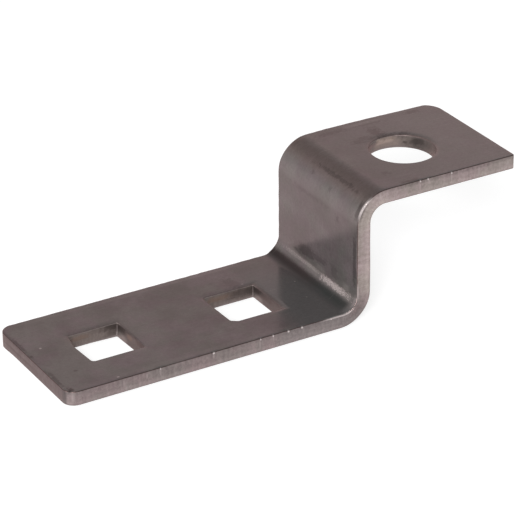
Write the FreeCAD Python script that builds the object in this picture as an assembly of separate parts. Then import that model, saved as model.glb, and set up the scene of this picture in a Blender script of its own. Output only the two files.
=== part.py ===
import FreeCAD, Part
import math
import os

os.makedirs("parts", exist_ok=True)

# Z bracket: one length of flat steel bar, punched and then folded twice, in millimetres.
# X runs from the free end of the long lower leg to the free end of the short upper leg,
# Y runs across the bar and Z points up. The origin is on the plane that the lower leg
# rests on, below the middle of the bracket's overall length and width.

# Flat bar
bar_width = 30.0
bar_thickness = 3.0
edge_round = 0.25

# The two right-angle folds, over tooling of one radius
fold_radius = 3.5
overall_height = 28.0

# Reach of each leg, measured from the back face of the riser
lower_reach = 64.0
upper_reach = 37.0

# Corners of the free ends, seen from above
lower_corner_radius = 2.5
upper_far_corner_radius = 4.0
upper_near_corner_radius = 0.5

# All three holes lie on one line, a little off the middle of the bar
hole_line_y = -0.6
hole_rollover = 0.5

# Square holes of the lower leg, made by one punch with a blunted corner
square_side = 11.8
square_corner_radius = 0.4
square_blunt_x = 1.3
square_blunt_y = 0.7
square_spacing = 31.0
square_from_free_end = 15.2

# Round hole of the upper leg
round_diameter = 13.8
round_from_riser_back = 19.3

# The punches start and end this far outside the metal
punch_clearance = 2.0

# Faces that meet at more than this angle share a real edge, in degrees
real_edge_angle = 15.0
# Two lengths closer than this are the same
same_length = 0.01

# Places worked out from the sizes above
riser_back_x = (lower_reach - upper_reach) / 2.0
riser_front_x = riser_back_x + bar_thickness
lower_end_x = riser_back_x - lower_reach
upper_end_x = riser_back_x + upper_reach
near_y = -bar_width / 2.0
far_y = bar_width / 2.0
upper_leg_under_z = overall_height - bar_thickness
lower_fold_centre = (riser_back_x - fold_radius, bar_thickness + fold_radius)
upper_fold_centre = (riser_front_x + fold_radius, upper_leg_under_z - fold_radius)
outer_fold_radius = fold_radius + bar_thickness
outer_square_x = lower_end_x + square_from_free_end
inner_square_x = outer_square_x + square_spacing
round_hole_x = riser_back_x + round_from_riser_back


def on_side(x, z):
    """A point of the folded outline, on the bar's near long edge."""
    return FreeCAD.Vector(x, near_y, z)


def on_fold(centre, radius, degrees):
    """The point of a fold's circle at an angle from +X towards +Z."""
    turn = math.radians(degrees)
    return on_side(centre[0] + radius * math.cos(turn), centre[1] + radius * math.sin(turn))


def straight(start, end):
    return Part.LineSegment(start, end).toShape()


def bend(centre, radius, start, end):
    """An arc of a fold, between two angles."""
    middle = (start + end) / 2.0
    return Part.Arc(on_fold(centre, radius, start),
                    on_fold(centre, radius, middle),
                    on_fold(centre, radius, end)).toShape()


def folded_outline():
    """The Z seen from the side: straight runs joined by tangent arcs of each fold."""
    lower_x, lower_z = lower_fold_centre
    upper_x, upper_z = upper_fold_centre
    return Part.Wire([
        straight(on_side(lower_end_x, 0.0), on_side(lower_x, 0.0)),
        bend(lower_fold_centre, outer_fold_radius, -90.0, 0.0),
        straight(on_side(riser_front_x, lower_z), on_side(riser_front_x, upper_z)),
        bend(upper_fold_centre, fold_radius, 180.0, 90.0),
        straight(on_side(upper_x, upper_leg_under_z), on_side(upper_end_x, upper_leg_under_z)),
        straight(on_side(upper_end_x, upper_leg_under_z), on_side(upper_end_x, overall_height)),
        straight(on_side(upper_end_x, overall_height), on_side(upper_x, overall_height)),
        bend(upper_fold_centre, outer_fold_radius, 90.0, 180.0),
        straight(on_side(riser_back_x, upper_z), on_side(riser_back_x, lower_z)),
        bend(lower_fold_centre, fold_radius, 0.0, -90.0),
        straight(on_side(lower_x, bar_thickness), on_side(lower_end_x, bar_thickness)),
        straight(on_side(lower_end_x, bar_thickness), on_side(lower_end_x, 0.0)),
    ])


def upright_edges(solid, x, y):
    """The edges of a solid that stand upright at one place in plan."""
    found = []
    for edge in solid.Edges:
        centre = edge.CenterOfMass
        upright = abs(edge.BoundBox.ZLength - edge.Length) < same_length
        if upright and abs(centre.x - x) < same_length and abs(centre.y - y) < same_length:
            found.append(edge)
    return found


def round_free_ends(bar):
    """Rounds the corners of both ends in plan. The upper end keeps one corner nearly square."""
    corners = [
        (lower_end_x, near_y, lower_corner_radius),
        (lower_end_x, far_y, lower_corner_radius),
        (upper_end_x, near_y, upper_near_corner_radius),
        (upper_end_x, far_y, upper_far_corner_radius),
    ]
    for x, y, radius in corners:
        bar = bar.makeFillet(radius, upright_edges(bar, x, y))
    return bar


def punch_height():
    return bar_thickness + 2.0 * punch_clearance


def square_punch(centre_x):
    """A square punch whose corner towards the free end and the near side is cut off."""
    left = centre_x - square_side / 2.0
    right = centre_x + square_side / 2.0
    front = hole_line_y - square_side / 2.0
    back = hole_line_y + square_side / 2.0
    plan = [
        (left + square_blunt_x, front),
        (right, front),
        (right, back),
        (left, back),
        (left, front + square_blunt_y),
    ]
    points = [FreeCAD.Vector(x, y, -punch_clearance) for x, y in plan]
    outline = Part.makePolygon(points + points[:1])
    punch = Part.Face(outline).extrude(FreeCAD.Vector(0.0, 0.0, punch_height()))
    corners = [edge for x, y in plan for edge in upright_edges(punch, x, y)]
    return punch.makeFillet(square_corner_radius, corners)


def round_punch():
    base = FreeCAD.Vector(round_hole_x, hole_line_y, upper_leg_under_z - punch_clearance)
    return Part.makeCylinder(round_diameter / 2.0, punch_height(), base)


def face_normal(face, point):
    u, v = face.Surface.parameter(point)
    return face.normalAt(u, v)


def real_edges(solid):
    """The edges where a broad face of the bar meets a cut face, with no tangent seams."""
    found = []
    for edge in solid.Edges:
        sides = solid.ancestorsOfType(edge, Part.Face)
        if len(sides) == 2:
            middle = edge.valueAt((edge.FirstParameter + edge.LastParameter) / 2.0)
            turn = face_normal(sides[0], middle).getAngle(face_normal(sides[1], middle))
            if math.degrees(turn) > real_edge_angle:
                found.append(edge)
    return found


def is_flat_at(edge, z):
    return abs(edge.BoundBox.ZMin - z) < same_length and abs(edge.BoundBox.ZMax - z) < same_length


def is_round_a_hole(edge):
    """True for an edge in the band along the bar that the holes take up."""
    widest = max(square_side, round_diameter)
    centre = edge.BoundBox.Center
    in_band = abs(centre.y - hole_line_y) < widest / 2.0 + same_length
    return in_band and lower_end_x + same_length < centre.x < upper_end_x - same_length


def hole_mouths(solid, leg_face_z):
    """The edges of the holes in one broad face of a leg."""
    return [edge for edge in real_edges(solid)
            if is_flat_at(edge, leg_face_z) and is_round_a_hole(edge)]


def soften_edges(bar):
    """Rolls over the hole mouths where the punches went in and rounds the bar's own edges.
    The other mouth of each hole stays sharp, where the punch broke out."""
    entry = hole_mouths(bar, bar_thickness) + hole_mouths(bar, overall_height)
    bar = bar.makeFillet(hole_rollover, entry)
    exits = hole_mouths(bar, 0.0) + hole_mouths(bar, upper_leg_under_z)
    bar_edges = [edge for edge in real_edges(bar) if not any(edge.isSame(other) for other in exits)]
    return bar.makeFillet(edge_round, bar_edges)


def z_bracket():
    bar = Part.Face(folded_outline()).extrude(FreeCAD.Vector(0.0, bar_width, 0.0))
    bar = round_free_ends(bar)
    bar = bar.cut([square_punch(outer_square_x), square_punch(inner_square_x), round_punch()])
    return soften_edges(bar.Solids[0])


bracket = z_bracket()
bracket.exportStep("parts/z_bracket.step")
box = bracket.optimalBoundingBox(True, False)
print("size", round(box.XLength, 3), round(box.YLength, 3), round(box.ZLength, 3))
print("middle", round(box.Center.x, 3), round(box.Center.y, 3), "lowest", round(box.ZMin, 3))
print("valid", bracket.isValid(), "solids", len(bracket.Solids), "volume", round(bracket.Volume, 1))
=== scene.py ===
# %% [markdown]
# A Z bracket of bare steel: one length of flat bar, punched and then folded twice. This
# lesson makes it in the same order: a flat blank, the holes, the rounded edges, the folds,
# and then the finish. The imported model gives the frame, so every length is in metres and
# the bar goes where the model says. The model's box is kept.

# %% Frame
import bpy, bmesh
from math import cos, pi, radians, sin
from mathutils import Matrix, Vector, noise


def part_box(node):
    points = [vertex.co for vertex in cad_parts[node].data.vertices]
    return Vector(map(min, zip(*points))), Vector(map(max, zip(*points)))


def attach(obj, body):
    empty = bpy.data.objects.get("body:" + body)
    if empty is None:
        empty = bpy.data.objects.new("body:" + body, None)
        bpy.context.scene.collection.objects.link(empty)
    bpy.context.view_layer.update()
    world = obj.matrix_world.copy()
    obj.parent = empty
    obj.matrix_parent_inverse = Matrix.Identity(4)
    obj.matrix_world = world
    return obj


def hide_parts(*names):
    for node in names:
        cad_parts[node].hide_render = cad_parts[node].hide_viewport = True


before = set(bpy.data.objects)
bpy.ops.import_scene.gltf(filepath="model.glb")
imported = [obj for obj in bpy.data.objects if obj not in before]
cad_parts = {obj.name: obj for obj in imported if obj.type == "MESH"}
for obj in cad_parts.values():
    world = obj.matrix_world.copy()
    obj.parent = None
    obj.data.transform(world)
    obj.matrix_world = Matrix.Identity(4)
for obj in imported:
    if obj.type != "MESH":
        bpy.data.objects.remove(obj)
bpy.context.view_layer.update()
mm = 0.001

# %% [markdown]
# The camera stands in front, to the left of the long leg and well above it, with a long lens
# that keeps the legs nearly parallel. The direction, the distance and the lens were measured
# from the straight edges of the real bracket. A direction and an aim point are easier to
# correct than a place and three angles, so the camera's matrix is built from those.

# %% Camera
image_side_px = 515
focal_length_px = 2740.3
view_azimuth = radians(-30.263)
view_elevation = radians(27.271)
view_roll = radians(-0.458)
view_distance = 0.5442
aim_point = Vector((-0.40 * mm, 0.0, 11.89 * mm))

toward_camera = Vector((sin(view_azimuth) * cos(view_elevation),
                        -cos(view_azimuth) * cos(view_elevation),
                        sin(view_elevation)))
camera_data = bpy.data.cameras.new("photo_camera")
camera_data.sensor_width = 36.0
camera_data.lens = camera_data.sensor_width * focal_length_px / image_side_px
camera = bpy.data.objects.new("photo_camera", camera_data)
level = toward_camera.to_track_quat("Z", "Y").to_matrix().to_4x4()
camera.matrix_world = (Matrix.Translation(aim_point + toward_camera * view_distance)
                       @ level @ Matrix.Rotation(view_roll, 4, "Z"))
bpy.context.scene.collection.objects.link(camera)
bpy.context.scene.camera = camera
print("lens", round(camera_data.lens, 1), "mm, camera at", [round(v / mm, 1) for v in camera.location])

# %% [markdown]
# The bar's own sizes come first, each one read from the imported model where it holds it.
# A folded bar keeps the length of its middle layer, so the flat blank is the two legs, the
# riser, and two quarter circles at the middle radius. Each start is measured along the flat
# bar from the free end of the lower leg.

# %% Sizes of the bar
bar_low, bar_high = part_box("z_bracket")
bar_width = bar_high.y - bar_low.y
overall_height = bar_high.z - bar_low.z
bar_thickness = 3.0 * mm
fold_radius = 3.5 * mm
lower_reach = 64.0 * mm
upper_reach = (bar_high.x - bar_low.x) - lower_reach
middle_radius = fold_radius + bar_thickness / 2
fold_run = middle_radius * pi / 2
lower_fold_start = lower_reach - fold_radius
riser_run = overall_height - 2 * (bar_thickness + fold_radius)
upper_fold_start = lower_fold_start + fold_run + riser_run
upper_leg_start = upper_fold_start + fold_run
bar_length = upper_leg_start + upper_reach - bar_thickness - fold_radius
print("flat blank", round(bar_length / mm, 2), "by", round(bar_width / mm, 2), "mm")

# %% [markdown]
# The blank is a flat sheet first: one face as long and as wide as the bar. Bevelling a
# corner point rounds it. Three corners are round and one is left nearly square, as on the
# real part, where only some corners were ground. Rolled bar is never quite its nominal
# size, so this one is a little over in width and at both ends.

# %% Blank with rounded corners
lower_corner_radius = 2.5 * mm
upper_far_corner_radius = 4.0 * mm
upper_near_corner_radius = 0.5 * mm

blank_left, blank_right = -0.1 * mm, bar_length + 0.15 * mm
near_side, far_side = -bar_width / 2, bar_width / 2 + 0.2 * mm
blank_size = (blank_right - blank_left, far_side - near_side, 1.0)

bar = bmesh.new()
bmesh.ops.create_grid(bar, x_segments=1, y_segments=1, size=0.5)
bmesh.ops.translate(bar, vec=(0.5, 0.5, 0.0), verts=bar.verts)
bmesh.ops.scale(bar, vec=blank_size, verts=bar.verts)
bmesh.ops.translate(bar, vec=(blank_left, near_side, 0.0), verts=bar.verts)


def nearest_point(x, y):
    place = Vector((x, y, 0.0))
    return min(bar.verts, key=lambda point: (point.co - place).length)


def round_corner(x, y, radius, segments=8):
    bmesh.ops.bevel(bar, geom=[nearest_point(x, y)], offset=radius, segments=segments,
                    profile=0.5, affect="VERTICES", material=-1)


round_corner(blank_left, near_side, lower_corner_radius)
round_corner(blank_left, far_side, lower_corner_radius)
round_corner(blank_right, far_side, upper_far_corner_radius)
round_corner(blank_right, near_side, upper_near_corner_radius, segments=4)
print("outline points", len(bar.verts))

# %% [markdown]
# A Boolean modifier could cut the holes, but it leaves long thin faces that bend badly.
# Here each hole gets a square window of the sheet instead. Cut lines mark the windows, and
# the next steps draw what lies inside them.

# %% Windows for the holes
hole_line_y = -0.6 * mm
square_places = [15.2 * mm, 46.2 * mm]
round_place = upper_leg_start + 12.8 * mm
window_half = 9.5 * mm


def cut_lines(places, axis):
    """Cuts every face at each place along X (0), Y (1) or Z (2)."""
    for place in places:
        point, direction = Vector(), Vector()
        point[axis], direction[axis] = place, 1.0
        bmesh.ops.bisect_plane(bar, geom=bar.verts[:] + bar.edges[:] + bar.faces[:],
                               dist=0.001 * mm, plane_co=point, plane_no=direction)


hole_places = square_places + [round_place]
cut_lines([hole_line_y - window_half, hole_line_y + window_half], axis=1)
cut_lines([x + side * window_half for x in hole_places for side in (-1, 1)], axis=0)
print("faces after the cut lines", len(bar.faces))

# %% [markdown]
# No punched hole is a perfect square. The punch's near-left corner is blunt, the far-left one
# is worn, and the near and left edges stray a little from true. So a square hole's outline is
# drawn from six points, with a small round at each, and every fault has a value of its own.
# Bevelling a plain square couldn't give corners with unequal legs.

# %% Hole outlines
first, second = square_places
square_side = 11.8 * mm
round_radius = 6.9 * mm
square_corner_radius = 0.3 * mm
blunt_corners = {first: (0.5 * mm, 0.4 * mm), second: (1.3 * mm, 0.9 * mm)}
worn_corners = {first: (0.85 * mm, 4.4 * mm), second: (0.5 * mm, 0.5 * mm)}
near_moves = {first: 0.33 * mm, second: -0.05 * mm}
left_moves = {first: (0.42 * mm, 0.06 * mm), second: (0.26 * mm, 0.05 * mm)}


def face_at(x):
    """The face whose middle is nearest to a hole's middle."""
    middle = Vector((x, hole_line_y, 0.0))
    return min(bar.faces, key=lambda face: (face.calc_center_median() - middle).length)


def open_window(x):
    """Takes out the face around a hole and gives back the window's border."""
    face = face_at(x)
    border = face.edges[:]
    bmesh.ops.delete(bar, geom=[face], context="FACES_ONLY")
    return border


def square_outline(x):
    """The punch's face: a square with a blunt near corner and a worn far one on its left."""
    blunt_x, blunt_y = blunt_corners[x]
    near_left, far_left = [x - square_side / 2 + move for move in left_moves[x]]
    worn_x, worn_y = worn_corners[x]
    right = x + square_side / 2
    front, back = hole_line_y - square_side / 2 + near_moves[x], hole_line_y + square_side / 2
    plan = [(near_left + blunt_x, front), (right, front), (right, back), (far_left + worn_x, back),
            (far_left, back - worn_y), (near_left, front + blunt_y)]
    points = [bar.verts.new((px, py, 0.0)) for px, py in plan]
    bar.faces.new(points)
    bmesh.ops.bevel(bar, geom=points, offset=square_corner_radius, segments=3,
                    profile=0.5, affect="VERTICES", material=-1)
    return face_at(x)


def round_outline(x):
    """A circle of many short sides, so the hole stays round close up."""
    made = bmesh.ops.create_circle(bar, cap_ends=True, radius=round_radius, segments=96,
                                   matrix=Matrix.Translation((x, hole_line_y, 0.0)))
    return made["verts"][0].link_faces[0]


print("first square: blunt corner", [round(v / mm, 2) for v in blunt_corners[first]], "mm")

# %% [markdown]
# Rings of narrow faces around each outline give the skin points to dip with. A ring is the
# hole's rim extruded in place and scaled up a little about the hole's middle. Inset would
# make rings too, but inwards, and here they have to grow. A bridge joins the last ring to
# the window's border.

# %% Rings around the holes
ring_widths = [0.2 * mm, 0.2 * mm, 0.25 * mm, 0.3 * mm, 0.4 * mm]


def ring_and_bridge(x, border, outline, reach):
    """Grows narrow rings out of the hole's edge and joins the last one to the window."""
    rim = outline.edges[:]
    for width in ring_widths:
        grown = bmesh.ops.extrude_edge_only(bar, edges=rim)["geom"]
        points = {g for g in grown if isinstance(g, bmesh.types.BMVert)}
        growth = (reach + width) / reach
        bmesh.ops.scale(bar, vec=(growth, growth, 1.0), verts=list(points),
                        space=Matrix.Translation((-x, -hole_line_y, 0.0)))
        rim = [g for g in grown if isinstance(g, bmesh.types.BMEdge) and points.issuperset(g.verts)]
        reach += width
    bmesh.ops.delete(bar, geom=[outline], context="FACES_ONLY")
    bmesh.ops.bridge_loops(bar, edges=border + rim)


for x in square_places:
    ring_and_bridge(x, open_window(x), square_outline(x), square_side / 2)
ring_and_bridge(round_place, open_window(round_place), round_outline(round_place), round_radius)
print("faces with the holes", len(bar.faces))

# %% [markdown]
# Extruding the sheet by the bar's thickness closes it: a lower skin, an upper skin, and
# walls around the outline and in the holes. A Solidify modifier would do the same, but only
# at the end, and the steps below need the walls now.

# %% Thickness
lifted = bmesh.ops.extrude_face_region(bar, geom=bar.faces[:], use_keep_orig=True)["geom"]
bmesh.ops.translate(bar, vec=(0.0, 0.0, bar_thickness),
                    verts=[g for g in lifted if isinstance(g, bmesh.types.BMVert)])
bmesh.ops.recalc_face_normals(bar, faces=bar.faces[:])
print("closed", all(edge.is_manifold for edge in bar.edges), "faces", len(bar.faces))

# %% [markdown]
# As the punch goes in it drags the metal with it, so the mouths on the upper side are softly
# rounded, and the lower side of each hole breaks out nearly sharp. The shear leaves the bar's
# outline rounder above than below, too. Each of the four groups of edges is found by its
# height and its angle, and gets a bevel of its own size. One Bevel modifier would have only
# one size for all.

# %% Rounded edges
mouth_round = 0.2 * mm
edge_round = 0.16 * mm
under_round = 0.07 * mm
breakout_round = 0.03 * mm
sharp_angle = radians(60)
height_slack = 0.01 * mm
window_margin = 0.1 * mm


def in_a_window(point):
    """Whether a point lies inside one of the windows, and so belongs to a hole."""
    half = window_half - window_margin
    return abs(point.y - hole_line_y) < half and any(abs(point.x - x) < half for x in hole_places)


def rims(height, holes):
    """The sharp edges of one skin, either round the holes or round the outline."""
    return [edge for edge in bar.edges
            if edge.is_manifold and edge.calc_face_angle() > sharp_angle
            and all(abs(point.co.z - height) < height_slack for point in edge.verts)
            and in_a_window(edge.verts[0].co) == holes]


def soften(edges, size, segments):
    bmesh.ops.bevel(bar, geom=edges, offset=size, offset_type="OFFSET", segments=segments,
                    profile=0.5, affect="EDGES", clamp_overlap=True, material=-1)


soften(rims(bar_thickness, holes=True), mouth_round, segments=4)
soften(rims(0.0, holes=True), breakout_round, segments=1)
soften(rims(bar_thickness, holes=False), edge_round, segments=3)
soften(rims(0.0, holes=False), under_round, segments=2)
print("faces with rounded edges", len(bar.faces))

# %% [markdown]
# Cut lines across the bar let it bend and carry small dents. They stand close together
# everywhere and closer still in the two folds. A few lines along the bar follow its long
# edges, where the shear rolled the metal over, and flat cuts divide the walls by height.
# Subdividing everything evenly would take ten times as many faces for the same curves.

# %% Cut lines for bending
line_spacing = 0.6 * mm
fold_lines = 28
line_count = round(bar_length / line_spacing)
cut_lines([bar_length * k / line_count for k in range(1, line_count)], axis=0)
for start in (lower_fold_start, upper_fold_start):
    cut_lines([start + fold_run * k / fold_lines for k in range(fold_lines + 1)], axis=0)
edge_lines_mm = [0.35, 0.55, 0.8, 1.1, 1.6, 2.4, 3.6, 5.0, 7.0]
cut_lines([near_side + inward * mm for inward in edge_lines_mm], axis=1)
cut_lines([far_side - inward * mm for inward in edge_lines_mm], axis=1)
cut_lines([height * bar_thickness for height in (0.25, 0.4, 0.55, 0.7, 0.85)], axis=2)
print("faces ready to fold", len(bar.faces))

# %% [markdown]
# Before anything moves, every point writes down where it lies on the flat bar. The steel's
# finish reads these notes later, so rolling marks run along the bar and around the folds,
# as they do on a real one, and no pattern is stretched. A second note says how far a point
# is on a cut wall rather than on a rolled skin, and a third whether that wall belongs to a
# hole.

# %% Notes on the points
flat_place = bar.verts.layers.float_vector.new("flat_place")
cut_wall = bar.verts.layers.float.new("cut_wall")
hole_wall = bar.verts.layers.float.new("hole_wall")
bar.normal_update()
for point in bar.verts:
    point[flat_place] = point.co / mm
    point[cut_wall] = 1.0 - abs(point.normal.z)
    point[hole_wall] = point[cut_wall] if in_a_window(point.co) else 0.0
print("points", len(bar.verts), "on cut walls", sum(point[cut_wall] > 0.5 for point in bar.verts))

# %% [markdown]
# The shear that slit this bar from sheet dragged its upper long edges down a little, and
# the punch did the same around the holes, most on the side towards the folds. Lowering the
# skin near an edge, more and more towards it, gives that soft roll. The walls below follow
# it less and less. One more note says how far the skin is drawn down around a hole, because
# drawn skin has a colour of its own.

# %% Rolled edges
roll_width, roll_depth = 0.7 * mm, 0.02 * mm
dip_width = 1.3 * mm
mouth_roll = bar.verts.layers.float.new("mouth_roll")
fully_drawn_dip = 0.25 * mm
mouth_dips = {first: (0.05, 0.10, 0.0, 0.0), second: (0.30, 0.09, 0.0, 0.0),
              round_place: (0.18, 0.20, 0.0, 0.0)}


def share(value, low, high):
    """How far a value has come from low to high, kept between 0 and 1 and eased."""
    part = min(max((value - low) / (high - low), 0.0), 1.0)
    return part * part * (3.0 - 2.0 * part)


def edge_gap(x, y):
    """The distance from a point of the flat bar to its outline."""
    return max(min(x - blank_left, blank_right - x, y - near_side, far_side - y), 0.0)


def hole_gap(x, y, place):
    """The distance to a hole's outline."""
    across, along = abs(x - place), abs(y - hole_line_y)
    if place == round_place:
        return max(Vector((across, along)).length - round_radius, 0.0)
    return max(max(across, along) - square_side / 2, 0.0)


def dip_depth(x, y, place):
    """How deep a mouth is drawn down, from its right, far, left and near sides."""
    way = Vector((x - place, y - hole_line_y)).normalized()
    right, far, left, near = mouth_dips[place]
    along = (right if way.x > 0 else left) * way.x ** 2
    across = (far if way.y > 0 else near) * way.y ** 2
    return (along + across) * mm


for point in bar.verts:
    x, y = point.co.x, point.co.y
    place = min(hole_places, key=lambda centre: abs(x - centre))
    in_upper_half = share(point.co.z, bar_thickness * 0.35, bar_thickness)
    roll = roll_depth * max(1.0 - edge_gap(x, y) / roll_width, 0.0) ** 3
    dip = dip_depth(x, y, place) * max(1.0 - hole_gap(x, y, place) / dip_width, 0.0) ** 2
    point[mouth_roll] = min(dip / fully_drawn_dip, 1.0)
    point.co.z -= (roll + dip) * in_upper_half
print("upper skin at its edges", round(roll_depth / mm, 2), "mm lower, at the holes up to",
      max(max(sides) for sides in mouth_dips.values()), "mm")

# %% [markdown]
# Nothing here is quite true. The round punch went in a little off and came out in place, so
# the mouth lies nearer than the rest of its hole. The slug of the first square tore out last
# at one corner. The shear left the far edge of the upper leg out of line, the outside of the
# lower fold is fuller than a true quarter circle, and a burr hangs from the far-left corner.
# Each fault moves the points near it by its own size times an eased share between 0 and 1,
# as a soft brush in sculpting would, but with a size that can be measured.

# %% Small departures
mouth_move_along, mouth_narrowing, mouth_move_near = 0.26 * mm, 0.16 * mm, 0.27 * mm
torn_corner = 0.27 * mm
full_fold = 0.10 * mm
end_burr = 0.22 * mm


def far_edge_line(x):
    """How far the upper leg's far edge stands out from a straight one."""
    full, short, corner = 0.17 * mm, 0.45 * mm, 0.38 * mm
    return (full * share(x, 92 * mm, 96 * mm) - short * share(x, 101 * mm, 118 * mm)
            + corner * share(x, 118.4 * mm, 120.2 * mm))


for point in bar.verts:
    x, y, z = point[flat_place].x * mm, point[flat_place].y * mm, point[flat_place].z * mm
    lower = share(z, 0.55 * bar_thickness, 0.05 * bar_thickness)
    mouth = share(hole_gap(x, y, round_place), 2.4 * mm, 0.0) * share(z, 0.8 * mm, 2.4 * mm)
    way = Vector((x - round_place, y - hole_line_y)).normalized()
    point.co.x += mouth * (mouth_move_along - mouth_narrowing * way.x)
    point.co.y -= mouth * mouth_move_near
    along, across = x - first, y - hole_line_y
    torn = torn_corner * lower * share(hole_gap(x, y, first), 1.2 * mm, 0.0)
    if along > 0 and in_a_window(point[flat_place] * mm):
        point.co.x -= torn * (1.4 * share(across, -6.5 * mm, 6.0 * mm) - 0.4)
        point.co.y -= torn * share(along, 0.0, 5.9 * mm) * share(across, 0.0, 5.0 * mm)
    point.co.y += far_edge_line(x) * share(far_side - y, 2.4 * mm, 0.0)
    point.co.z -= full_fold * lower * share(x, 61 * mm, 67 * mm) * share(x, 80 * mm, 73 * mm)
    point.co.z -= end_burr * lower * share(x, 1.6 * mm, 0.0) * share(y, 8 * mm, 13 * mm)
print("mouth of the round hole moved", round(mouth_move_near / mm, 2), "mm to the near side")

# %% [markdown]
# Folding squeezes the metal on the inside of a fold and stretches it on the outside. At the
# lower fold the squeezed metal swelled out sideways, more at the near end than at the far
# one. At the upper fold the stretched skin curled down along both long edges. Both are
# easiest to shape while the bar is flat.

# %% Swelling and curl at the folds
near_swelling, far_swelling = 0.62 * mm, 0.28 * mm
drawn_in = 0.16 * mm
swelling_reach = 3.4 * mm
curl_depth, curl_reach = 0.13 * mm, 2.4 * mm
fold_margin = 0.9 * mm


def in_fold(x, start):
    """0 outside a fold, 1 at its middle."""
    along = (x - start + fold_margin) / (fold_run + 2 * fold_margin)
    return sin(pi * along) ** 2 if 0.0 < along < 1.0 else 0.0


for point in bar.verts:
    side = -1.0 if point.co.y < 0 else 1.0
    gap = point.co.y - near_side if side < 0 else far_side - point.co.y
    height = share(point.co.z, 0.25 * bar_thickness, bar_thickness)
    swelling = near_swelling if side < 0 else far_swelling
    squeezed = in_fold(point.co.x, lower_fold_start)
    outward = squeezed * share(gap, swelling_reach, 0.0) * height
    inward = drawn_in * squeezed * share(gap, 1.0 * mm, 0.0)
    point.co.y += side * (swelling * outward - inward * (1.0 - height))
    point.co.z += 0.3 * swelling * outward
    curl = in_fold(point.co.x, upper_fold_start + 1.0 * mm) * share(gap, curl_reach, 0.0) ** 2
    point.co.z -= curl_depth * curl * height
print("width over the swelling", round((max(p.co.y for p in bar.verts)
                                        - min(p.co.y for p in bar.verts)) / mm, 2), "mm")

# %% [markdown]
# Years in a bin of loose parts leave nicks on the sharp upper edge, and the edge itself is
# never quite straight. A nick is a small dent, deepest in its middle. The waviness comes from
# smooth noise, the same each time, and only moves points close to the edge.

# %% Nicks and uneven edges
nick_places = [(19.8, 0.15), (31.5, 0.40), (42.0, 0.20), (44.8, 0.25), (48.3, 0.40), (51.4, 0.40),
               (58.1, 0.30), (99.3, 0.30), (101.1, 0.25), (106.7, 0.30)]
nick_depth = 0.14 * mm
waviness = 0.035 * mm

for point in bar.verts:
    near_edge = share(edge_gap(point.co.x, point.co.y), 0.5 * mm, 0.0)
    if near_edge == 0.0 or in_a_window(point.co):
        continue
    upper = share(point.co.z, 2.2 * mm, 2.9 * mm)
    wave = noise.noise(point.co / mm * 0.9) * waviness
    for place, half_width in nick_places:
        off = abs(point.co.x / mm - place) / (2.0 * half_width)
        if point.co.y < 0 and off < 1.0:
            wave -= nick_depth * share(off, 1.0, 0.0)
    point.co.y += (-1.0 if point.co.y < 0 else 1.0) * wave * near_edge * upper
    point.co.z += wave * near_edge * upper
print(len(nick_places), "nicks,", nick_depth / mm, "mm deep")

# %% [markdown]
# A fold wraps part of the bar around a centre line and swings all that lies beyond it.
# Each point slides back to where the fold starts and turns by its own angle, up to a right
# angle. A Simple Deform modifier bends too, but it can't stop between two straight parts at
# an exact radius. The far fold is made first, while the bar is straight, then the near one.

# %% Folds


def fold(start, centre_height, upwards):
    """Bends the bar by a right angle, over the length of one fold."""
    for point in bar.verts:
        run = min(max(point[flat_place].x * mm - start, 0.0), fold_run)
        if run > 0.0:
            point.co.x -= run
            turn = -run / middle_radius if upwards else run / middle_radius
            centre = Vector((start, 0.0, centre_height))
            point.co = centre + Matrix.Rotation(turn, 3, "Y") @ (point.co - centre)


fold(upper_fold_start, -fold_radius, upwards=False)
fold(lower_fold_start, bar_thickness + fold_radius, upwards=True)
bmesh.ops.translate(bar, vec=(bar_low.x, 0.0, 0.0), verts=bar.verts)
print("height after the folds", round(max(point.co.z for point in bar.verts) / mm, 2), "mm")

# %% [markdown]
# The finished shape becomes a mesh, and its object stays at the origin, unturned. Smooth
# shading alone would bend the light on the flat skins next to the small rounds. The Weighted
# Normal modifier lets the large faces decide, so the skins stay flat and the edges soft.

# %% Folded bar
mesh = bpy.data.meshes.new("folded_bar")
bar.to_mesh(mesh)
bar.free()
for face in mesh.polygons:
    face.use_smooth = True
folded_bar = bpy.data.objects.new("folded_bar", mesh)
bpy.context.scene.collection.objects.link(folded_bar)
even_light = folded_bar.modifiers.new("even_light", "WEIGHTED_NORMAL")
even_light.weight = 80
even_light.keep_sharp = True
corners = [Vector(c) for c in folded_bar.bound_box]
print("folded bar in mm", [round(c / mm, 2) for c in (*corners[0], *corners[6])])

# %% [markdown]
# The finish is built from shader nodes. Laying them by hand shows them all but hides the
# order, so a few helpers lay them here. The first adds one node, sets it, and joins its
# inputs to values or to other nodes' outputs, and the others are short forms of it.

# %% Node helpers


def add(tree, kind, inputs=None, **settings):
    """Adds a node, with its settings, and gives each input a value or a link."""
    node = tree.nodes.new(kind)
    for name, value in settings.items():
        setattr(node, name, value)
    for name, value in (inputs or {}).items():
        if isinstance(value, bpy.types.NodeSocket):
            tree.links.new(value, node.inputs[name])
        else:
            node.inputs[name].default_value = value
    return node


def math(tree, operation, one, other=0.0):
    """One step of arithmetic on two values."""
    return add(tree, "ShaderNodeMath", {0: one, 1: other}, operation=operation).outputs[0]


def spread(tree, value, low, high, out_low=0.0, out_high=1.0):
    """Maps a value's range to another one, eased and kept within it."""
    node = add(tree, "ShaderNodeMapRange",
               {"Value": value, "From Min": low, "From Max": high,
                "To Min": out_low, "To Max": out_high}, interpolation_type="SMOOTHSTEP")
    return node.outputs["Result"]


def blend(tree, share_of_other, one, other):
    """Mixes two colours: 0 gives the one, 1 the other."""
    node = add(tree, "ShaderNodeMix", {0: share_of_other, 6: one, 7: other},
               data_type="RGBA")
    return node.outputs[2]


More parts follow.
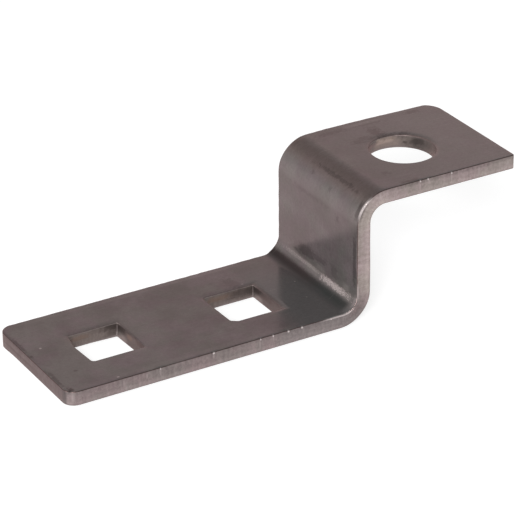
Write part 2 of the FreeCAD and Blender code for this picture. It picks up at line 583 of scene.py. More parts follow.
def new_group(name, inputs, outputs):
    """An empty node group with named sockets, and its inner input and output nodes."""
    tree = bpy.data.node_groups.new(name, "ShaderNodeTree")
    for socket, kind in inputs.items():
        tree.interface.new_socket(socket, in_out="INPUT", socket_type="NodeSocket" + kind)
    for socket, kind in outputs.items():
        tree.interface.new_socket(socket, in_out="OUTPUT", socket_type="NodeSocket" + kind)
    return tree, tree.nodes.new("NodeGroupInput").outputs, tree.nodes.new("NodeGroupOutput").inputs


print("node helpers ready, node groups so far", len(bpy.data.node_groups))

# %% [markdown]
# Bare steel keeps every mark of its making. A mark is one soft-edged spot on the flat bar,
# such as a scuff or a burnished streak. It is a rounded block with a middle and a half size,
# so a mark on a skin stays off the walls, and its border is broken up by a fine grain. One
# node group does this, and is placed once for every mark.

# %% Mark group
mark_group, inside, out = new_group(
    "mark", {"Place": "Vector", "Middle": "Vector", "Half Size": "Vector",
             "Grain": "Float", "Ragged": "Float", "Inner": "Float"}, {"Mask": "Float"})
offset = add(mark_group, "ShaderNodeVectorMath", {0: inside["Place"], 1: inside["Middle"]},
             operation="SUBTRACT").outputs[0]
local = add(mark_group, "ShaderNodeVectorMath", {0: offset, 1: inside["Half Size"]},
            operation="DIVIDE").outputs[0]
squares = add(mark_group, "ShaderNodeVectorMath", {0: local, 1: local}, operation="MULTIPLY").outputs[0]
total = add(mark_group, "ShaderNodeVectorMath", {0: squares, 1: squares}, operation="DOT_PRODUCT")
distance = math(mark_group, "POWER", total.outputs["Value"], 0.25)
border = math(mark_group, "MULTIPLY", inside["Grain"], inside["Ragged"])
soft = math(mark_group, "ADD", distance, border)
mark_group.links.new(spread(mark_group, soft, 1.05, inside["Inner"]), out["Mask"])
print("mark group", len(mark_group.nodes), "nodes")

# %% [markdown]
# Rolling leaves a faint cloudy tone and fine streaks along the bar. All of them are noise
# over the flat bar, and a stretched noise makes a streak. They are gathered in a group, so
# the skins, the walls and the marks share the same grain. Each value lies about zero.

# %% Rolled surface group
rolled_group, inside, out = new_group(
    "rolled_surface", {"Place": "Vector"},
    {"Tone": "Float", "Hue": "Float", "Grain": "Float", "Streaks": "Float", "Fine": "Float",
     "Shear": "Float", "Scratches": "Float"})


def noise_at(scale, detail, roughness=0.5, stretch=(1.0, 1.0, 1.0), turn=0.0, shift=0.0):
    """Noise over the flat bar, less a half, so that its mean is about zero."""
    seen = add(rolled_group, "ShaderNodeMapping",
               {"Vector": inside["Place"], "Location": (shift, shift, 0.0),
                "Rotation": (0.0, 0.0, radians(turn)), "Scale": stretch}).outputs[0]
    texture = add(rolled_group, "ShaderNodeTexNoise",
                  {"Vector": seen, "Scale": scale, "Detail": detail, "Roughness": roughness})
    return math(rolled_group, "SUBTRACT", texture.outputs["Fac"], 0.5)


rolled_group.links.new(noise_at(0.13, 4.0, 0.6), out["Tone"])
rolled_group.links.new(noise_at(0.17, 3.0, 0.6, shift=40.0), out["Hue"])
rolled_group.links.new(noise_at(1.6, 4.0, 0.7), out["Grain"])
rolled_group.links.new(noise_at(1.0, 3.0, 0.6, (0.06, 2.2, 2.2)), out["Streaks"])
rolled_group.links.new(noise_at(5.0, 2.0), out["Fine"])
rolled_group.links.new(noise_at(1.0, 3.0, 0.7, (1.3, 1.3, 0.16)), out["Shear"])
scratch = noise_at(1.0, 2.0, 0.5, (0.12, 3.4, 1.0), turn=32.0)
rolled_group.links.new(spread(rolled_group, scratch, 0.13, 0.24), out["Scratches"])
print("rolled surface group", len(rolled_group.nodes), "nodes")

# %% [markdown]
# One material covers the whole bracket. It reads the notes from the flat bar as attributes,
# and every colour below is mixed into the one before it, through a mask that says where it
# belongs. Most masks are built from rows of marks: a strength, a middle and a half size, in
# millimetres on the flat bar. Painting an image would be quicker, but it blurs close up.

# %% Material of the bracket
steel = bpy.data.materials.new("bare_steel")
steel.use_nodes = True
tree = steel.node_tree
tree.nodes.clear()
place = add(tree, "ShaderNodeAttribute", attribute_name="flat_place").outputs["Vector"]
cut = add(tree, "ShaderNodeAttribute", attribute_name="cut_wall").outputs["Fac"]
hole = add(tree, "ShaderNodeAttribute", attribute_name="hole_wall").outputs["Fac"]
drawn = add(tree, "ShaderNodeAttribute", attribute_name="mouth_roll").outputs["Fac"]
along_bar, across_bar, through_bar = add(tree, "ShaderNodeSeparateXYZ", {0: place}).outputs
rolled = add(tree, "ShaderNodeGroup", {"Place": place}, node_tree=rolled_group).outputs


def marks(rows, ragged=1.0, inner=0.35):
    """One mask of many marks. Ragged breaks their borders up, and inner is the share of
    their size that they cover in full."""
    mask = 0.0
    for strength, middle, half_size in rows:
        one = add(tree, "ShaderNodeGroup",
                  {"Place": place, "Middle": middle, "Half Size": half_size,
                   "Grain": rolled["Grain"], "Ragged": ragged, "Inner": inner},
                  node_tree=mark_group).outputs["Mask"]
        mask = math(tree, "MAXIMUM", mask, math(tree, "MULTIPLY", one, strength))
    return mask


def scaled(color, factor):
    """A colour made lighter or darker by a factor."""
    return add(tree, "ShaderNodeVectorMath", {0: color, "Scale": factor}, operation="SCALE").outputs[0]


print("steel started,", len(tree.nodes), "nodes")

# %% [markdown]
# The rolled skins are a warm grey that wanders a little between green and pink. They turn
# cooler towards the lower fold, and the upper leg gets lighter towards its end.

# %% Skin colours
green_grey = (0.109, 0.104, 0.099, 1.0)
pink_grey = (0.118, 0.101, 0.104, 1.0)
cool_grey = (0.102, 0.105, 0.105, 1.0)
upper_grey = (0.121, 0.118, 0.116)

top = bar_thickness / mm
tone = spread(tree, rolled["Tone"], -0.22, 0.22, 0.85, 1.15)
pinkish = spread(tree, rolled["Hue"], -0.12, 0.12)
skin_color = scaled(blend(tree, pinkish, green_grey, pink_grey), tone)
near_fold = marks([(1.0, (57.0, -8.0, top), (9.0, 22.0, 1.0))], ragged=0.5)
skin_color = blend(tree, near_fold, skin_color, cool_grey)
upper_leg = spread(tree, along_bar, 89.0, 96.0)
upper_color = scaled(upper_grey, spread(tree, along_bar, 93.0, 113.0, 0.84, 1.12))
skin_color = blend(tree, math(tree, "MULTIPLY", upper_leg, 0.6), skin_color, upper_color)
print("skins started,", len(tree.nodes), "nodes")

# %% [markdown]
# The riser gets painted shade in a darker brown, and the outside of the upper fold painted
# shade in a warmer brown. The skin that the punch drew down is pinker, and a thin painted
# dark line, standing in for the dark reflection of the room, follows the sheared edges.

# %% Bands and edges of the skins
riser_shade_brown = (0.080, 0.066, 0.067, 1.0)
fold_shade_brown = (0.105, 0.080, 0.074, 1.0)
drawn_pink = (0.170, 0.124, 0.117, 1.0)
painted_edge_shade = (0.070, 0.046, 0.043, 1.0)

# Painted shade on the riser, darkest near the lower fold's far side.
riser_shade = marks([
    (0.60, (72.0, 9.5, top), (6.2, 10.5, 1.0)),
    (0.40, (81.5, 0.0, top), (4.8, 40.0, 1.0)),
], ragged=0.3, inner=0.2)
skin_color = blend(tree, riser_shade, skin_color, riser_shade_brown)
# Warmer painted shade on the outside of the upper fold.
warm_fold_shade = marks([(0.75, (88.6, 0.0, top), (2.6, 40.0, 1.0))], ragged=0.3, inner=0.2)
skin_color = blend(tree, warm_fold_shade, skin_color, fold_shade_brown)
skin_color = blend(tree, drawn, skin_color, drawn_pink)
# A thin painted dark line along the rounded sheared edges, weaker around the holes.
hole_rims = spread(tree, hole, 0.02, 0.20, 0.0, 0.55)
edge_line = math(tree, "SUBTRACT", spread(tree, cut, 0.02, 0.20), hole_rims)
skin_color = blend(tree, edge_line, skin_color, painted_edge_shade)
print("skins done,", len(tree.nodes), "nodes")

# %% [markdown]
# The sheared long edges and the ends have a matt torn face. It is lighter past the lower
# fold, cooler beside it, and darker on the end of the lower leg.

# %% Wall colours
wall_grey = (0.214, 0.187, 0.181, 1.0)
wall_pink = (0.226, 0.183, 0.183, 1.0)
wall_cool = (0.204, 0.186, 0.183, 1.0)
light_wall_grey = (0.318, 0.278, 0.256, 1.0)
light_wall_pink = (0.330, 0.270, 0.266, 1.0)
end_grey = (0.100, 0.090, 0.089, 1.0)

near_wall = near_side / mm
past_fold = spread(tree, along_bar, 65.0, 70.0)
wall_light = math(tree, "SUBTRACT", past_fold, math(tree, "MULTIPLY", upper_leg, 0.45))
leg_wall = blend(tree, pinkish, wall_grey, wall_pink)
cool = marks([(0.8, (56.0, near_wall, 1.5), (13.0, 0.8, 3.0))], ragged=0.6)
leg_wall = blend(tree, cool, leg_wall, wall_cool)
riser_wall = blend(tree, pinkish, light_wall_grey, light_wall_pink)
wall_color = blend(tree, wall_light, leg_wall, riser_wall)
wall_color = blend(tree, spread(tree, along_bar, 0.35, 0.05), wall_color, end_grey)
print("walls started,", len(tree.nodes), "nodes")

# %% [markdown]
# Through its thickness a sheared wall is a little darker above, where the blade went in, and
# lighter below, where the metal tore. Upright lines from the blade and a cloudy grain are
# added as shares of the brightness. The walls then take over from the skins.

# %% Shading of the walls
lower_part = spread(tree, through_bar, 1.3, 0.5, 0.0, 0.20)
upper_strength = math(tree, "ADD", math(tree, "MULTIPLY", upper_leg, -0.14), -0.12)
upper_part = math(tree, "MULTIPLY", spread(tree, through_bar, 1.9, 2.6), upper_strength)
shear = math(tree, "MULTIPLY", rolled["Shear"], 0.7)
cloudy = math(tree, "MULTIPLY", rolled["Grain"], 0.55)
by_height = math(tree, "ADD", lower_part, upper_part)
wall_share = math(tree, "ADD", by_height, math(tree, "ADD", shear, cloudy))
wall_color = scaled(wall_color, math(tree, "ADD", wall_share, 1.0))
on_wall = spread(tree, cut, 0.45, 0.95)
color = blend(tree, on_wall, skin_color, wall_color)
print("walls done,", len(tree.nodes), "nodes")

# %% [markdown]
# The punch left a tan burnished face in each hole. The walls that face the riser's side get
# painted shade, the far wall of the round hole gets a painted highlight, and the ends of the
# far walls look more like the skin.

# %% Hole colours
burnished_tan = (0.168, 0.142, 0.131)
shaded_tan = (0.092, 0.081, 0.077, 1.0)
scorched = (0.070, 0.058, 0.052, 1.0)
highlight_tan = (0.335, 0.266, 0.232, 1.0)

square_1, square_2, round_1 = [centre / mm for centre in hole_places]
back_wall = (hole_line_y + square_side / 2) / mm
right_1, right_2 = [square + square_side / 2 / mm for square in (square_1, square_2)]
hole_share = math(tree, "ADD", math(tree, "MULTIPLY", rolled["Shear"], 0.6), 1.0)
hole_color = scaled(burnished_tan, hole_share)
# Painted shade on the walls that face the riser's side.
shaded = marks([
    (1.0, (right_1, -0.6, 1.5), (0.6, 6.6, 4.0)),
    (1.0, (right_2, -0.6, 1.5), (0.6, 6.6, 4.0)),
    (0.7, (round_1 + 7.6, -0.8, 1.5), (3.2, 4.6, 4.0)),
], ragged=0.0, inner=0.9)
hole_color = blend(tree, shaded, hole_color, shaded_tan)
second_far_wall = marks([(0.30, (square_2 - 1.0, back_wall, 1.9), (4.6, 0.9, 1.5))], ragged=0.6)
hole_color = blend(tree, second_far_wall, hole_color, scorched)
# A painted highlight on the far wall of the round hole.
round_highlight = marks([
    (0.95, (round_1 - 0.3, back_wall + 1.2, 2.2), (3.5, 1.8, 1.3)),
    (0.35, (round_1 + 0.6, back_wall + 1.2, 0.9), (4.0, 2.0, 1.4)),
], ragged=0.6, inner=0.5)
hole_color = blend(tree, round_highlight, hole_color, highlight_tan)
print("hole walls started,", len(tree.nodes), "nodes")

# %% [markdown]
# Rust has started in thin brown patches on the burnished faces. The tops of the walls under
# the rolled mouths and the corners get painted shade, which comes after the rust, because it
# darkens that too.

# %% Rust and painted shade in the holes
rust_brown = (0.165, 0.112, 0.084, 1.0)
worn_grey = (0.155, 0.137, 0.130, 1.0)
hole_shade_black = (0.054, 0.046, 0.043, 1.0)

rust = marks([
    (0.50, (square_2 - 1.9, back_wall, 1.9), (3.8, 0.9, 0.8)),
    (0.55, (square_2 - 3.2, back_wall, 1.7), (2.6, 0.9, 0.3)),
    (0.50, (square_1 - 2.6, back_wall, 1.9), (2.8, 0.9, 0.7)),
    (0.50, (right_1, 0.2, 1.9), (0.8, 1.5, 0.8)),
], ragged=1.4)
hole_color = blend(tree, rust, hole_color, rust_brown)
like_skin = marks([
    (1.0, (square_1 - 5.9, back_wall, 2.9), (1.6, 1.2, 1.9)),
    (0.8, (square_2 - 6.0, back_wall, 3.0), (1.6, 1.2, 1.6)),
    (1.0, (round_1 - 4.6, 4.2, 1.8), (3.0, 3.4, 2.6)),
], ragged=0.6, inner=0.7)
hole_color = blend(tree, like_skin, hole_color, worn_grey)
# Painted shade at the tops and in the corners of the walls in each hole.
first_square_shade = [
    (0.80, (square_1 + 5.4, back_wall, 2.4), (4.4, 0.9, 1.2)),
    (0.24, (square_1 + 2.0, back_wall, 2.5), (3.8, 0.9, 0.9)),
    (0.42, (square_1 + 5.2, back_wall, 0.9), (3.0, 0.9, 1.5)),
    (0.35, (square_1 - 4.4, back_wall, 2.1), (0.8, 0.9, 0.8)),
    (0.90, (right_1, 3.9, 2.5), (0.8, 2.9, 1.05)),
    (0.95, (right_1, -4.3, 2.4), (0.8, 2.5, 0.9)),
    (0.35, (right_1, -1.0, 2.8), (0.8, 4.5, 0.6)),
]
second_square_shade = [
    (0.80, (square_2 + 3.9, back_wall, 1.8), (5.0, 0.9, 1.5)),
    (0.45, (square_2 + 5.0, back_wall, 0.6), (2.6, 0.9, 1.0)),
    (0.98, (right_2, 3.9, 2.4), (0.8, 2.8, 1.1)),
    (0.80, (right_2, 0.2, 2.05), (0.8, 3.6, 0.95)),
    (0.35, (right_2, -3.6, 2.7), (0.8, 2.6, 0.8)),
]
round_hole_shade = [
    (0.75, (round_1 + 4.4, 4.7, 1.2), (0.5, 0.6, 0.4)),
    (0.70, (round_1 + 6.3, 2.1, 1.9), (0.9, 1.3, 1.0)),
    (0.72, (round_1 + 5.8, 3.2, 1.7), (1.1, 1.4, 1.1)),
    (0.35, (round_1 + 6.9, -0.2, 1.7), (0.8, 1.6, 1.0)),
]
painted_hole_shade = marks(first_square_shade + second_square_shade + round_hole_shade, ragged=0.8)
hole_color = blend(tree, painted_hole_shade, hole_color, hole_shade_black)
print("rust and soot done,", len(tree.nodes), "nodes")

# %% [markdown]
# The foot of a punched wall breaks out rough and dark, but the right walls of the square
# holes get a painted strip of the light from below the bar. The far rims are burnished, with a
# painted highlight on them.

# %% Feet and rims of the holes
foot_dark = (0.030, 0.026, 0.024, 1.0)
foot_lit = (0.210, 0.183, 0.174, 1.0)
rim_highlight = (0.300, 0.262, 0.250, 1.0)

low_edge = spread(tree, through_bar, 0.65, 0.15, 0.0, 0.78)
hole_color = blend(tree, low_edge, hole_color, foot_dark)
# Painted light at the foot of the right walls of the square holes.
foot_light = marks([
    (0.85, (right_1, 3.6, 0.5), (0.45, 2.8, 1.0)),
    (0.75, (right_2, 3.6, 0.5), (0.45, 2.6, 0.9)),
], ragged=0.5)
hole_color = blend(tree, foot_light, hole_color, foot_lit)
on_hole = spread(tree, hole, 0.45, 0.95)
color = blend(tree, on_hole, color, hole_color)
# A painted highlight on the burnished far rims.
rim = math(tree, "SUBTRACT", spread(tree, hole, 0.15, 0.45), spread(tree, hole, 0.62, 0.95))
far_only = spread(tree, across_bar, 3.6, 4.8, 0.0, 0.55)
color = blend(tree, math(tree, "MULTIPLY", rim, far_only), color, rim_highlight)
print("holes done,", len(tree.nodes), "nodes")

# %% [markdown]
# Last come the marks of the press and of handling, and painted shade: a dark line of painted
# shade lies in the inside of the lower fold. Two soft ramps, one rising and one falling, give
# the line, and the grain makes its borders wander.

# %% Painted shade in the lower fold
oil_and_shade_dark = (0.024, 0.022, 0.022, 1.0)
fold_shade_near = (0.024, 0.032, 0.031, 1.0)

# Painted shade in the crease of the lower fold.
wavy_along = math(tree, "ADD", along_bar, math(tree, "MULTIPLY", rolled["Grain"], 0.6))
line_start = spread(tree, wavy_along, 59.6, 63.4)
line_end = spread(tree, wavy_along, 65.6, 63.9)
fold_line = math(tree, "MULTIPLY", line_start, line_end)
fold_line = math(tree, "MULTIPLY", fold_line, spread(tree, across_bar, -14.4, -12.6))
fold_line = math(tree, "MULTIPLY", fold_line, spread(tree, through_bar, 2.0, 2.8, 0.0, 0.97))
fold_shade = blend(tree, spread(tree, across_bar, 4.0, -6.0), oil_and_shade_dark, fold_shade_near)
color = blend(tree, fold_line, color, fold_shade)
print("fold line done,", len(tree.nodes), "nodes")

# %% [markdown]
# The die scuffed the riser just above the lower fold, and fingers and other parts left faint
# smudges on both legs and the upper fold, all the same thin oil. Painted shade lies along the
# near edge of the riser and both edges of the upper fold. They all share one colour and differ
# only in strength.

# %% Scuffs and smudges
scuffs = marks([
    (0.42, (69.60, 4.3, top), (1.25, 3.3, 1.0)),
    (0.30, (69.95, -0.6, top), (0.7, 3.0, 1.0)),
    (0.26, (69.5, -6.6, top), (1.4, 1.3, 1.0)),
    (0.08, (69.6, -9.6, top), (1.2, 2.4, 1.0)),
    (0.12, (69.3, 7.6, top), (1.5, 1.6, 1.0)),
    (0.10, (70.9, 0.0, top), (0.25, 9.0, 1.0)),
], ragged=0.9, inner=0.75)
# Painted shade along the near edge of the riser and both edges of the upper fold.
near_edge_shade = marks([
    (0.50, (75.5, -14.0, top), (6.6, 0.75, 1.0)),
    (0.62, (85.7, -14.4, top), (2.0, 1.1, 1.0)),
    (0.35, (88.7, 14.5, top), (1.0, 1.5, 1.0)),
], ragged=0.9, inner=0.5)
lower_leg_smudges = [
    (0.45, (5.3, -7.7, top), (0.45, 0.4, 1.0)),
    (0.50, (0.3, 7.0, top), (0.5, 4.2, 1.0)),
    (0.45, (0.4, 1.4, top), (0.45, 1.0, 1.0)),
    (0.40, (0.45, -8.5, top), (0.55, 4.5, 1.0)),
    (0.60, (1.0, -13.6, top), (0.6, 0.9, 1.0)),
    (0.22, (48.5, 8.0, top), (1.6, 3.2, 1.0)),
    (0.16, (63.5, near_wall, 0.9), (3.5, 0.6, 1.6)),
]
upper_fold_smudges = [
    (0.30, (81.8, -7.4, top), (1.0, 0.8, 1.0)),
    (0.16, (82.8, 3.2, top), (0.6, 7.5, 1.0)),
    (0.30, (85.8, -3.4, top), (0.6, 0.6, 1.0)),
    (0.30, (86.6, 3.8, top), (0.5, 0.8, 1.0)),
    (0.42, (88.1, -3.0, top), (0.5, 9.8, 1.0)),
]
upper_leg_smudges = [
    (0.25, (95.2, -8.7, top), (1.1, 0.9, 1.0)),
    (0.26, (96.0, 12.9, top), (4.4, 1.0, 1.0)),
    (0.35, (97.5, -14.2, top), (2.6, 0.7, 1.0)),
    (0.28, (98.2, 6.4, top), (1.8, 1.1, 1.0)),
    (0.28, (100.6, 7.3, top), (1.8, 1.1, 1.0)),
    (0.40, (103.9, 8.4, top), (1.8, 3.4, 1.0)),
    (0.30, (104.6, 6.1, top), (2.6, 0.9, 1.0)),
    (0.22, (105.0, 12.8, top), (3.6, 0.8, 1.0)),
    (0.30, (108.2, 5.4, top), (2.2, 0.9, 1.0)),
    (0.30, (115.7, 13.2, top), (2.2, 1.0, 1.0)),
]
smudges = marks(lower_leg_smudges + upper_fold_smudges + upper_leg_smudges, ragged=2.2)
oil_and_shade = math(tree, "MAXIMUM", scuffs, math(tree, "MAXIMUM", near_edge_shade, smudges))
print("smudges done,", len(tree.nodes), "nodes")

# %% [markdown]
# Softer dark lines lie along the walls: layers on the end face, two bands on the near wall,
# and painted shade in the dips beside the square holes and on the upper fold.

# %% Dark lines on walls and ends
# Layers on the end face, bands on the near wall, and painted shade in the dips and on the upper fold.
dark_lines = marks([
    (0.30, (0.0, 9.0, 2.85), (0.6, 8.5, 0.4)),
    (0.42, (0.0, 5.5, 1.35), (0.6, 9.5, 0.28)),
    (0.16, (0.0, 1.0, 0.7), (0.6, 12.5, 0.8)),
    (0.08, (18.0, near_wall, 1.7), (17.0, 0.8, 0.8)),
    (0.07, (53.0, near_wall, 2.4), (8.0, 0.8, 0.6)),
    (0.80, (1.1, -13.9, 2.9), (0.8, 0.55, 0.5)),
    (0.28, (square_1 + 6.05, -0.6, top), (0.35, 6.6, 0.35)),
    (0.28, (square_2 + 6.1, -0.6, top), (0.55, 6.6, 0.45)),
    (0.13, (89.3, 0.0, top), (1.9, 40.0, 1.0)),
], ragged=0.6)
oil_and_shade = math(tree, "MAXIMUM", oil_and_shade, dark_lines)
color = blend(tree, oil_and_shade, color, oil_and_shade_dark)
print("dark marks done,", len(tree.nodes), "nodes")

# %% [markdown]
# Where the die rubbed, it left a streak of bright bare metal in the lower fold, and its colour
# also holds a painted highlight of the fold. Real ones are made of countless tiny scratches,
# so a fine speckle breaks the streak up.

# %% Rubbed streak and painted highlight
streak_speckle = spread(tree, rolled["Fine"], -0.10, 0.14, 0.30, 1.40)
# Rubbed bare metal with a painted highlight in the lower fold.
rubbed_highlight_streak = marks([
    (0.88, (66.15, -7.3, top), (1.15, 6.2, 1.0)),
    (0.26, (66.6, 5.0, top), (0.75, 10.0, 1.0)),
], ragged=2.4)
rubbed_highlight_streak = math(tree, "MULTIPLY", rubbed_highlight_streak, streak_speckle)
print("streak done,", len(tree.nodes), "nodes")

# %% [markdown]
# Smaller bright places are scattered over the bar: specks and worn bands along the long
# edges, and painted highlights across the upper fold, at the near end of the lower fold, on
# the near wall at the upper fold, on the rounded near-left corner and on the upright inner
# corners of the square holes. The shear also dragged thin bright lines down the near wall.
# A few values for each line are enough, so a loop writes its row.

# %% Specks, worn bands, painted highlights and drag lines
specks = [
    (0.50, (3.4, 3.6, top), (0.30, 0.35, 1.0)),
    (0.60, (11.1, -14.0, top), (0.35, 0.22, 1.0)),
    (0.30, (50.2, 6.4, top), (0.28, 0.22, 1.0)),
    (0.30, (58.5, -5.0, top), (0.22, 0.22, 1.0)),
    (0.40, (59.9, 1.9, top), (0.22, 0.22, 1.0)),
]
# Worn bands along the long edges, and painted highlights on the folds and the near-left corner.
worn_and_highlight_bands = [
    (0.30, (1.2, -14.6, 1.8), (0.45, 0.5, 1.3)),
    (0.05, (25.0, 14.2, top), (24.0, 0.9, 1.0)),
    (0.04, (30.0, -13.9, top), (28.0, 0.9, 1.0)),
    (0.10, (43.0, 14.3, top), (13.0, 0.8, 1.0)),
    (0.20, (66.0, -14.6, top), (2.6, 0.7, 1.0)),
    (0.10, (68.1, -1.2, top), (0.9, 2.4, 1.0)),
    (0.14, (68.1, -11.0, top), (1.2, 1.6, 1.0)),
    (0.08, (84.7, 0.0, top), (1.6, 40.0, 1.0)),
    (0.12, (86.4, near_wall, 0.4), (2.6, 0.8, 1.0)),
    (0.16, (86.6, near_wall, 2.4), (2.8, 0.8, 1.0)),
    (0.10, (104.0, 13.6, top), (6.0, 0.7, 1.0)),
]
# Painted highlights on the upright inner corners of the square holes.
inner_corner_highlights = [
    (0.25, (right_1, back_wall, 1.5), (0.22, 0.22, 1.8)),
    (0.20, (right_2, back_wall, 1.5), (0.22, 0.22, 1.8)),
]
small_marks_and_highlights = marks(specks + worn_and_highlight_bands + inner_corner_highlights, ragged=0.6)

drag_lines = [
    (11.8, 1.8, 1.0), (16.8, 2.0, 0.7), (19.7, 1.9, 0.9), (31.4, 2.2, 0.7), (41.8, 1.7, 1.2),
    (44.8, 2.2, 0.6), (90.0, 1.9, 0.9), (99.2, 1.7, 0.5), (101.3, 2.2, 0.6), (106.6, 2.0, 1.1),
    (113.2, 1.5, 1.2), (115.2, 1.4, 0.5), (120.2, 1.5, 0.7),
]
drags = marks([(0.32, (spot, near_wall, height), (0.22, 0.5, reach))
               for spot, height, reach in drag_lines], ragged=1.2)
print(len(drag_lines), "drag lines,", len(tree.nodes), "nodes")

# %% [markdown]
# The streak, the small marks, the drag lines and a few fine scratches share one light colour,
# of bare metal and of the painted highlights. Painted glints, brighter still, lie on the dents
# at the near edge and along the near edge beside the folds.

# %% Bright marks and painted glints
bright_metal_and_highlight = (0.42, 0.37, 0.36, 1.0)
painted_glint = (0.62, 0.56, 0.55, 1.0)

bright = math(tree, "MAXIMUM", rubbed_highlight_streak, math(tree, "MAXIMUM", small_marks_and_highlights, drags))
bright = math(tree, "MAXIMUM", bright, math(tree, "MULTIPLY", rolled["Scratches"], 0.07))
color = blend(tree, bright, color, bright_metal_and_highlight)
# Painted glints along the near edge beside the folds and on the dents.
edge_glints = [
    (0.60, (60.3, near_wall, 2.8), (5.0, 0.5, 0.24)),
    (0.35, (68.6, near_wall, 2.8), (2.4, 0.5, 0.20)),
    (0.75, (86.4, near_wall, 2.85), (2.4, 0.5, 0.24)),
]
nick_glints = [(0.95, (spot, near_wall, 2.75), (0.7 * half, 0.6, 0.27)) for spot, half in nick_places]
color = blend(tree, marks(edge_glints + nick_glints, ragged=0.4), color, painted_glint)
print("bright marks done,", len(tree.nodes), "nodes")

# %% [markdown]
# Fine grain changes the brightness a little everywhere. The skins are smooth enough to show
# the room in a dull way, and the walls are matt. Bare steel under a film of oil reflects less
# than clean metal and with a red-brown tint, so it is only partly metallic here. The values
# that are the same all over the bar stand on the shader itself.

# %% Steel surface
oil_tint = (1.0, 0.45, 0.42, 1.0)

change = math(tree, "ADD", math(tree, "MULTIPLY", rolled["Grain"], 0.45),
              math(tree, "MULTIPLY", rolled["Streaks"], 0.12))
change = math(tree, "ADD", change, math(tree, "MULTIPLY", rolled["Fine"], 0.30))
shade = scaled(color, math(tree, "ADD", change, 1.0))
dull = math(tree, "MAXIMUM", on_wall, spread(tree, hole, 0.02, 0.20))
rough = math(tree, "ADD", spread(tree, dull, 0.0, 1.0, 0.20, 0.42),
             math(tree, "MULTIPLY", rolled["Grain"], 0.10))
riser_only = math(tree, "SUBTRACT", past_fold, spread(tree, along_bar, 84.0, 92.0))
metal = spread(tree, riser_only, 0.0, 1.0, 0.35, 0.20)
bump = add(tree, "ShaderNodeBump",
           {"Strength": 0.10, "Distance": 0.00002, "Height": rolled["Fine"]})
surface = add(tree, "ShaderNodeBsdfPrincipled",
              {"Base Color": shade, "Metallic": metal, "Roughness": rough, "IOR": 1.40,
               "Specular Tint": oil_tint, "Normal": bump.outputs[0]})
add(tree, "ShaderNodeOutputMaterial", {"Surface": surface.outputs[0]})
folded_bar.data.materials.append(steel)
print("steel", len(tree.nodes), "nodes")

# %% [markdown]
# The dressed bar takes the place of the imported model's plain one. It rides on the model's
# only body, and its slot names the steel that the model is made of.

# %% Place in the model
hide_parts("z_bracket")
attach(folded_bar, "root")
print("folded_bar stands for z_bracket")

# %% [markdown]
# The bracket stands on a plain pale floor. The floor is lifted to white where the camera
# or a reflection sees it, and still shows the bracket's shadow. A brighter lamp would make
# it white as well, but it would bleach the steel. The floor lies a hair lower than the leg,
# because the burr and the full fold reach below it.

# %% Floor
floor_half = 4.0
floor_drop = 0.3 * mm
floor_mesh = bpy.data.meshes.new("floor")
sheet = bmesh.new()
bmesh.ops.create_grid(sheet, x_segments=1, y_segments=1, size=floor_half)
sheet.to_mesh(floor_mesh)
sheet.free()
floor = bpy.data.objects.new("floor", floor_mesh)
floor.location.z = -floor_drop
bpy.context.scene.collection.objects.link(floor)

floor_paint = bpy.data.materials.new("floor_paint")
floor_paint.use_nodes = True
tree = floor_paint.node_tree
tree.nodes.clear()
paint = add(tree, "ShaderNodeBsdfDiffuse", {"Color": (0.85, 0.85, 0.85, 1.0)})
pale = add(tree, "ShaderNodeBsdfDiffuse", {"Color": (0.40, 0.40, 0.40, 1.0)})
lift = add(tree, "ShaderNodeEmission", {"Color": (1.0, 1.0, 1.0, 1.0), "Strength": 0.76})
both = add(tree, "ShaderNodeAddShader", {0: pale.outputs[0], 1: lift.outputs[0]})
ray = add(tree, "ShaderNodeLightPath").outputs
seen = math(tree, "MAXIMUM", math(tree, "MAXIMUM", ray["Is Camera Ray"], ray["Is Glossy Ray"]),
            ray["Is Transmission Ray"])
mixed = add(tree, "ShaderNodeMixShader", {0: seen, 1: paint.outputs[0], 2: both.outputs[0]})
add(tree, "ShaderNodeOutputMaterial", {"Surface": mixed.outputs[0]})
floor.data.materials.append(floor_paint)
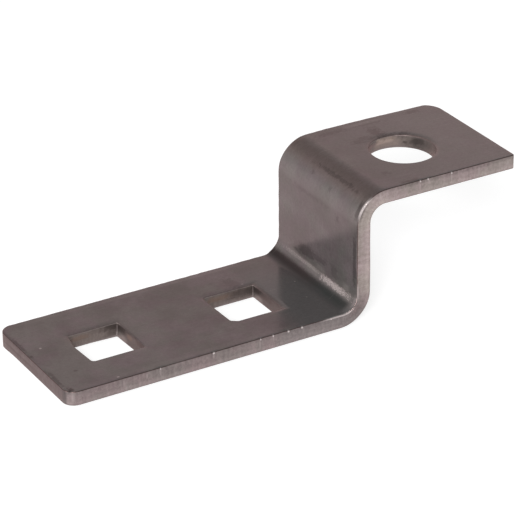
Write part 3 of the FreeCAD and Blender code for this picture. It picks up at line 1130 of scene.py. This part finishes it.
print("floor", 2 * floor_half, "m wide,", round(floor_drop / mm, 2), "mm under the bar")

# %% [markdown]
# Steel shows its surroundings. The room is bright near the horizon behind the bracket, which
# the tops of both legs reflect, and darker overhead and at the front, which the near edges
# reflect as a thin dark line. Two soft ramps make this room, with no picture of a studio.

# %% Room light
world = bpy.data.worlds.new("studio")
bpy.context.scene.world = world
world.use_nodes = True
tree = world.node_tree
tree.nodes.clear()
direction = add(tree, "ShaderNodeTexCoord").outputs["Generated"]
heading = add(tree, "ShaderNodeSeparateXYZ", {0: direction}).outputs
by_height = spread(tree, heading["Z"], 0.38, 0.78, 0.90, 0.30)
behind = spread(tree, heading["Y"], -0.35, 0.35, 0.40, 1.0)
room = math(tree, "MULTIPLY", by_height, behind)
seen = add(tree, "ShaderNodeLightPath").outputs["Is Camera Ray"]
strength = math(tree, "MAXIMUM", room, seen)
background = add(tree, "ShaderNodeBackground", {"Color": (1.0, 1.0, 1.0, 1.0), "Strength": strength})
add(tree, "ShaderNodeOutputWorld", {"Surface": background.outputs[0]})
print("room light", len(tree.nodes), "nodes")

# %% [markdown]
# Two soft boxes add what the even room leaves out. The key light stands in front, to the
# left, and lights the near walls and the riser. A weaker one at the left lifts the end face.
# Area lamps of this size keep the shadow soft, where a point lamp's would be hard.

# %% Lamps


def soft_box(name, place, aim, size, power):
    """A rectangular lamp that faces the point it aims at."""
    lamp = bpy.data.lights.new(name, "AREA")
    lamp.shape = "RECTANGLE"
    lamp.size, lamp.size_y = size
    lamp.energy = power
    holder = bpy.data.objects.new(name, lamp)
    holder.location = place
    holder.rotation_euler = (Vector(aim) - Vector(place)).to_track_quat("-Z", "Y").to_euler()
    bpy.context.scene.collection.objects.link(holder)
    print(name, power, "W")


lamp_aim = (0.0, 0.0, 0.01)
soft_box("key_box", (-0.50, -0.68, 0.54), lamp_aim, (0.30, 0.30), 8.0)
soft_box("left_box", (-1.0, 0.1, 0.35), lamp_aim, (0.5, 0.4), 3.5)
bpy.context.scene.view_settings.view_transform = "Standard"
